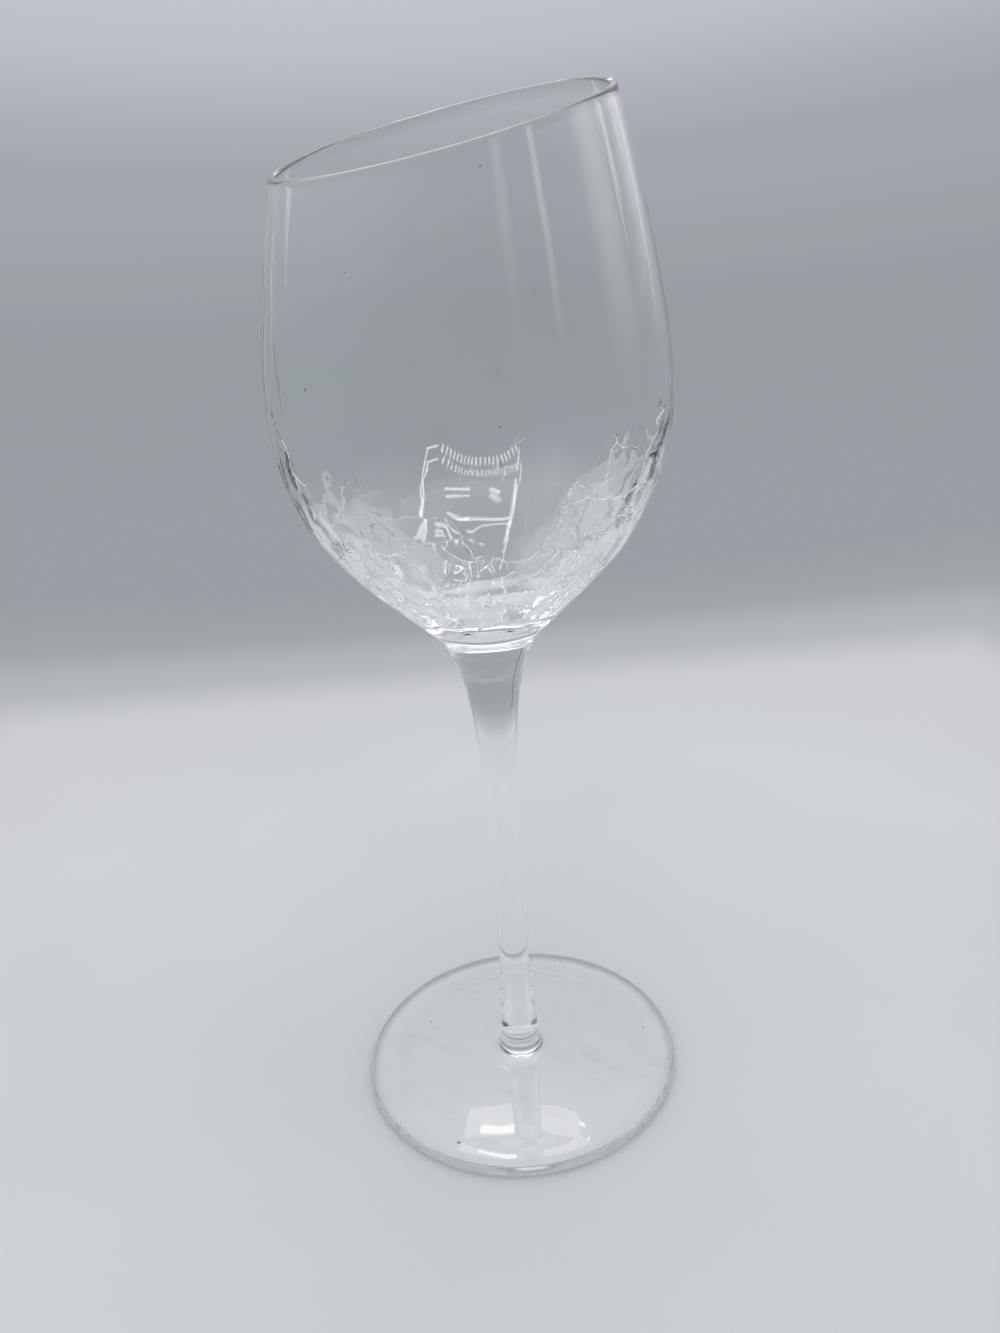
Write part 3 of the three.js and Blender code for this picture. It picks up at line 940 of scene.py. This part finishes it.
def backdrop_paint():
    """Diffuse where the glass stands, and past it the soft grey wall, which glows with a painted tone instead
    of being lit. Under the foot the floor is painted brighter and partly glows, as painted light.
    """
    material, tree = new_material("backdrop paper")
    material.cycles.emission_sampling = "NONE"
    place = node(tree, "TexCoord").outputs["Object"]
    x, y, z = node(tree, "SeparateXYZ", {0: place}).outputs
    # Painted light on the wall and tent: they glow with this tone rather than being lit, grey low down and
    # brightest at the top of the tent
    upper = ramp(tree, between(tree, z, 0, tent_top * MM), [
        (0.15, *wall_grey), (0.3, 0.312, 0.34, 0.364), (0.42, 0.365, 0.382, 0.418),
        (0.56, 0.53, 0.545, 0.6), (0.72, 0.95, 0.97, 1.0)])
    # The line where the floor turns into the wall looks straight from each of four sides
    room_turn = {"Vector": place, "Angle": math.radians(60)}
    squared = node(tree, "VectorRotate", room_turn, rotation_type="Z_AXIS").outputs["Vector"]
    sized = node(tree, "VectorMath", {0: squared}, operation="ABSOLUTE").outputs["Vector"]
    room_x, room_y, _ = node(tree, "SeparateXYZ", {0: sized}).outputs
    ahead = worked_out(tree, "MAXIMUM", room_x, room_y)
    # The far floor glows with this painted tone, which darkens from the pale floor into the wall grey
    lower = ramp(tree, worked_out(tree, "MULTIPLY_ADD", z, 3, ahead), [
        (0.04, 0.64, 0.655, 0.68), (0.27, *floor_tone), (0.352, 0.45, 0.465, 0.49),
        (0.424, 0.345, 0.37, 0.395), (0.5, *wall_grey)])
    tone = mixed_colour(tree, between(tree, z, 0.085, 0.14, curve="SMOOTHSTEP"), lower, upper)
    glow = node(tree, "Emission", {"Color": tone}).outputs["Emission"]
    level = node(tree, "CombineXYZ", {"X": x, "Y": y}).outputs["Vector"]
    reach = node(tree, "VectorMath", {0: level}, operation="LENGTH").outputs["Value"]
    # Painted light under the foot: the paper is painted brighter there and partly glows, making up for the
    # light that the glass above it takes away
    painted_light_under_foot = between(tree, reach, 36.5 * MM, 40.2 * MM, 1, 0, "SMOOTHSTEP")
    mottled = ramp(tree, noise(tree, place, 7), [(0.3, 0.635, 0.648, 0.672), (0.7, 0.665, 0.678, 0.702)])
    paper = mixed_colour(tree, painted_light_under_foot, mottled, (0.86, 0.87, 0.885, 1))
    flat = node(tree, "BsdfDiffuse", {"Color": paper}).outputs["BSDF"]
    far_off = between(tree, reach, 0.17, 0.29, curve="SMOOTHSTEP")
    # Painted light: the far floor and wall glow with their tone, and the floor under the foot partly glows
    # too
    glow_share = worked_out(tree, "MAXIMUM", far_off, worked_out(tree, "MULTIPLY", painted_light_under_foot, 0.7))
    surface = mixed_shader(tree, glow_share, flat, glow)
    # Light that reaches the floor through the glass comes from the room outside, as it does beside the glass
    bounces = node(tree, "LightPath").outputs["Diffuse Depth"]
    bounced = worked_out(tree, "GREATER_THAN", bounces, at_least_once)
    above_floor = worked_out(tree, "GREATER_THAN", z, 3 * MM)
    passes = worked_out(tree, "MULTIPLY", bounced, above_floor)
    open_wall = node(tree, "BsdfTransparent").outputs["BSDF"]
    node(tree, "OutputMaterial", {"Surface": mixed_shader(tree, passes, surface, open_wall)})
    return material


sweep = backdrop()
sweep.data.materials.append(backdrop_paint())
sweep.visible_shadow = False
sweep.visible_diffuse = False


# ---------------- light

world = bpy.data.worlds.new("soft room")
world.use_nodes = True
sky = world.node_tree.nodes["Background"].inputs
sky["Color"].default_value = (0.96, 0.98, 1.0, 1)
sky["Strength"].default_value = 0.78
scene = bpy.context.scene
scene.world = world


# A square soft lamp over the glass
face_brightness = 1.1               # 1 for white
lamp = bpy.data.lights.new("top_lamp", "AREA")
lamp.size = 620 * MM
lamp.energy = face_brightness * math.pi * lamp.size ** 2
placed("top_lamp", lamp).location = (0.03, 0.02, 0.7)


# ---------------- what the glass mirrors

ceiling_height = 360
panel_height = 363
window_radius = 303

# A piece of the room shows once the light has passed more faces of glass than this, so that it appears in
# the far wall of the bowl and not in the near one
after_two_faces = 1.5
after_three_faces = 2.5


def glowing(name, brightness, seen_from=0, graded=False):
    """White light. With seen_from or graded it shows only where it is mirrored, and is clear elsewhere."""
    material, tree = new_material(name)
    material.cycles.emission_sampling = "NONE"
    light = {"Color": (1, 1, 1, 1), "Strength": brightness}
    surface = node(tree, "Emission", light).outputs["Emission"]
    if seen_from or graded:
        path = node(tree, "LightPath").outputs
        if graded:
            shown = node(tree, "Attribute", attribute_name="glow").outputs["Fac"]
        else:
            shown = worked_out(tree, "GREATER_THAN", path["Transmission Depth"], seen_from)
        mirrored = worked_out(tree, "GREATER_THAN", path["Glossy Depth"], at_least_once)
        shown = worked_out(tree, "MULTIPLY", shown, mirrored)
        clear = node(tree, "BsdfTransparent").outputs["BSDF"]
        surface = mixed_shader(tree, shown, clear, surface)
    node(tree, "OutputMaterial", {"Surface": surface})
    return material


def room_piece(name, corners, faces, material, with_refraction=True):
    """A flat piece of the room that shows in the glass and lights nothing else."""
    mesh = bpy.data.meshes.new(name)
    mesh.from_pydata([tuple(v * MM for v in corner) for corner in corners], [], faces)
    mesh.materials.append(material)
    made = placed(name, mesh)
    made.visible_camera = made.visible_diffuse = made.visible_shadow = False
    made.visible_transmission = with_refraction
    return mesh


def strips(name, lines, brightness, seen_from=0, with_refraction=True):
    """Flat strips, each (start, end, width), turned to the bowl."""
    corners, faces = [], []
    for start, end, width in lines:
        start, end = Vector(start), Vector(end)
        back = ((start + end) / 2 - Vector((0, 0, 150))).normalized()
        across = back.cross((end - start).normalized()).normalized() * width / 2
        first = len(corners)
        corners += [start - across, end - across, end + across, start + across]
        faces.append(tuple(range(first, first + 4)))
    material = glowing(name.replace("_", " "), brightness, seen_from)
    room_piece(name, corners, faces, material, with_refraction)


def along_line(points, count):
    """Points at even shares along a line of a few straight runs."""
    pts = np.array(points, float)
    walked = np.concatenate([[0], np.cumsum(np.linalg.norm(np.diff(pts, axis=0), axis=1))])
    at = np.linspace(0, walked[-1], count)
    return np.column_stack([np.interp(at, walked, pts[:, k]) for k in range(3)])


def runs(points, width):
    return [(a, b, width) for a, b in zip(points[:-1], points[1:])]


def ceiling_runs(points, width):
    return runs([(x, y, ceiling_height) for x, y in points], width)


def small_lamps(points, count, half_height, width):
    """A row of upright dots along a line, as strips."""
    row = along_line(points, count)
    dots = []
    for before, spot, after in zip(row[:-2], row[1:-1], row[2:]):
        toward_bowl = Vector((0, 0, 0.15)) - Vector(spot) * MM
        tall = Vector(after - before).cross(toward_bowl).normalized() * half_height
        dots.append((Vector(spot) - tall, Vector(spot) + tall, width))
    return dots


# A lamp frame over the viewer: a row of small lamps in front, plain strips down its sides, and bars between
front_of_frame = [(-159, -255, 314), (-207, -203, 360), (-218, -125, 360), (-256, -37, 360), (-298, 38, 330)]
strips("lamp_row", small_lamps(front_of_frame, 22, 15, 6.5), 46, after_three_faces)
frame_sides = runs([(-159, -255, 314), (-113, -278, 316), (-70, -266, 345), (-34, -251, 360)], 7)
frame_sides += ceiling_runs([(-34, -251), (-8, -203), (21, -149), (52, -125), (84, -105), (121, -94)], 7)
frame_sides += runs([(-298, 38, 330), (-232, 38, 350), (-168, 37, 360)], 5)
strips("lamp_frame_sides", frame_sides, 13, after_three_faces)
frame_bars = ceiling_runs([(-168, 37), (-125, 41), (-85, 44), (-61, 44), (-31, 45)], 7)
frame_bars += ceiling_runs([(-54, -138), (-72, -112), (-96, -76)], 11)
frame_bars += ceiling_runs([(-112, -30), (-104, 0)], 15)
frame_bars += ceiling_runs([(-5, -86), (-22, -56), (-42, -25), (-52, 5), (-63, 43)], 5)
frame_bars += ceiling_runs([(28, -55), (22, -80), (50, -96)], 7)
strips("lamp_frame_bars", frame_bars, 9, after_two_faces)


def soft_sheet(name, degrees, width_degrees, low, high, brightness, radius=340, in_far_wall=False):
    """A tall sheet that stands beside the glass, at an angle round it, and fades out at its edges."""
    across, up = 25, 13
    corners, faces, shade = [], [], []
    for row in range(up):
        for column in range(across):
            share, rise = column / (across - 1), row / (up - 1)
            turn = math.radians(degrees + width_degrees * (share - 0.5))
            corners.append((radius * math.cos(turn), radius * math.sin(turn), low + (high - low) * rise))
            sides_fade = math.sin(math.pi * share) ** 1.2
            shade.append(sides_fade * min(1, 2.2 * rise) ** 1.5 * min(1, 4 * (1 - rise)))
    for row in range(up - 1):
        for column in range(across - 1):
            first = row * across + column
            faces.append((first, first + 1, first + across + 1, first + across))
    mesh = room_piece(name, corners, faces, glowing(name, brightness, graded=True), in_far_wall)
    mesh.attributes.new("glow", "FLOAT", "POINT").data.foreach_set("value", shade)


soft_sheet("room_shade", 235, 190, 0, 620, 0.04, radius=352, in_far_wall=True)
soft_sheet("right_sheet", 301, 30, 150, 560, 1.9)
soft_sheet("far_right_sheet", 338, 30, 150, 520, 1.0)
soft_sheet("left_sheet", 66, 14, 100, 480, 0.8)
soft_sheet("thin_sheet", 259, 6, 200, 560, 2.6)
soft_sheet("middle_sheet", 236, 9, 230, 560, 1.3)


def window_panel(name, low_edge, brightness):
    """An upright panel bent round the glass, from a slanting low edge in (degrees, height) to the ceiling."""
    line = along_line([(degrees, height, 0) for degrees, height in low_edge], 14)
    corners = []
    for degrees, height, _ in line:
        x = window_radius * math.cos(math.radians(degrees))
        y = window_radius * math.sin(math.radians(degrees))
        corners += [(x, y, height), (x, y, panel_height + 1)]
    faces = [(2 * k, 2 * k + 2, 2 * k + 3, 2 * k + 1) for k in range(len(line) - 1)]
    room_piece(name, corners, faces, glowing(name, brightness, after_three_faces))


# Bright ceiling and windows on the far side, mirrored as flat light patches low in the bowl
ceiling = [(300, -150), (230, -200), (130, -92), (95, -76), (0, -5), (-20, 60), (-19, 108), (-60, 180),
           (-104, 229), (-60, 290), (150, 260), (300, 100)]
room_piece("ceiling_panel", [(x, y, panel_height) for x, y in ceiling], [tuple(range(len(ceiling)))],
           glowing("ceiling_panel", 2.0, after_three_faces))
window_panel("right_window", [(-46, 355), (-42, 345), (-1, 220), (11, 172)], 1.5)
window_panel("left_window", [(58, 172), (62, 186), (89, 280), (114, 352)], 2.0)

# A skylight behind the glass, mirrored in the top of the foot: a faint sheet with a bright bar near each end
strips("sky_sheet", [((239, 198, 360), (277, 111, 360), 15)], 2.8, with_refraction=False)
strips("sky_bar", [((238, 183, 359), (253, 148, 359), 3), ((269, 136, 359), (281, 108, 359), 2)], 8,
       with_refraction=False)

# A narrow dark strip beside the backdrop, which gives clear glass its dark lines
edge_strip = runs([(129, 271, 327), (123, 273, 280), (120, 275, 234), (132, 269, 187)], 9)
edge_strip += runs([(132, 269, 187), (139, 266, 160), (148, 261, 111), (146, 262, 71), (139, 266, 41)], 6)
strips("dark_strip", edge_strip, 0.02)


# ---------------- camera

image_height = 1333
focal_length = 924                  # in the same units as the image height
sensor = 36
frame_turn = math.radians(-59.985)
pitch, yaw, roll = (math.radians(v) for v in (18.54, -0.55, -4.34))

camera_data = bpy.data.cameras.new("camera")
camera_data.sensor_width = sensor
camera_data.lens = focal_length * sensor / image_height
camera_data.clip_start = 0.01
camera = placed("camera", camera_data)
turn = Matrix.Rotation(frame_turn + yaw, 3, "Z")
forward = turn @ Vector((0, math.cos(pitch), -math.sin(pitch)))
level_up = turn @ Vector((0, math.sin(pitch), math.cos(pitch)))
level_right = turn @ Vector((1, 0, 0))
right = math.cos(roll) * level_right + math.sin(roll) * level_up
up = -math.sin(roll) * level_right + math.cos(roll) * level_up
spot = Matrix.Rotation(frame_turn, 3, "Z") @ Vector((0, -201.1, 176.2))
camera.matrix_world = Matrix.Translation(spot * MM) @ Matrix((right, up, -forward)).transposed().to_4x4()
scene.camera = camera

scene.view_settings.view_transform = "Standard"

# Light runs a long way inside clear glass before it comes out
scene.cycles.max_bounces = 128
scene.cycles.transmission_bounces = 128
scene.cycles.glossy_bounces = 48
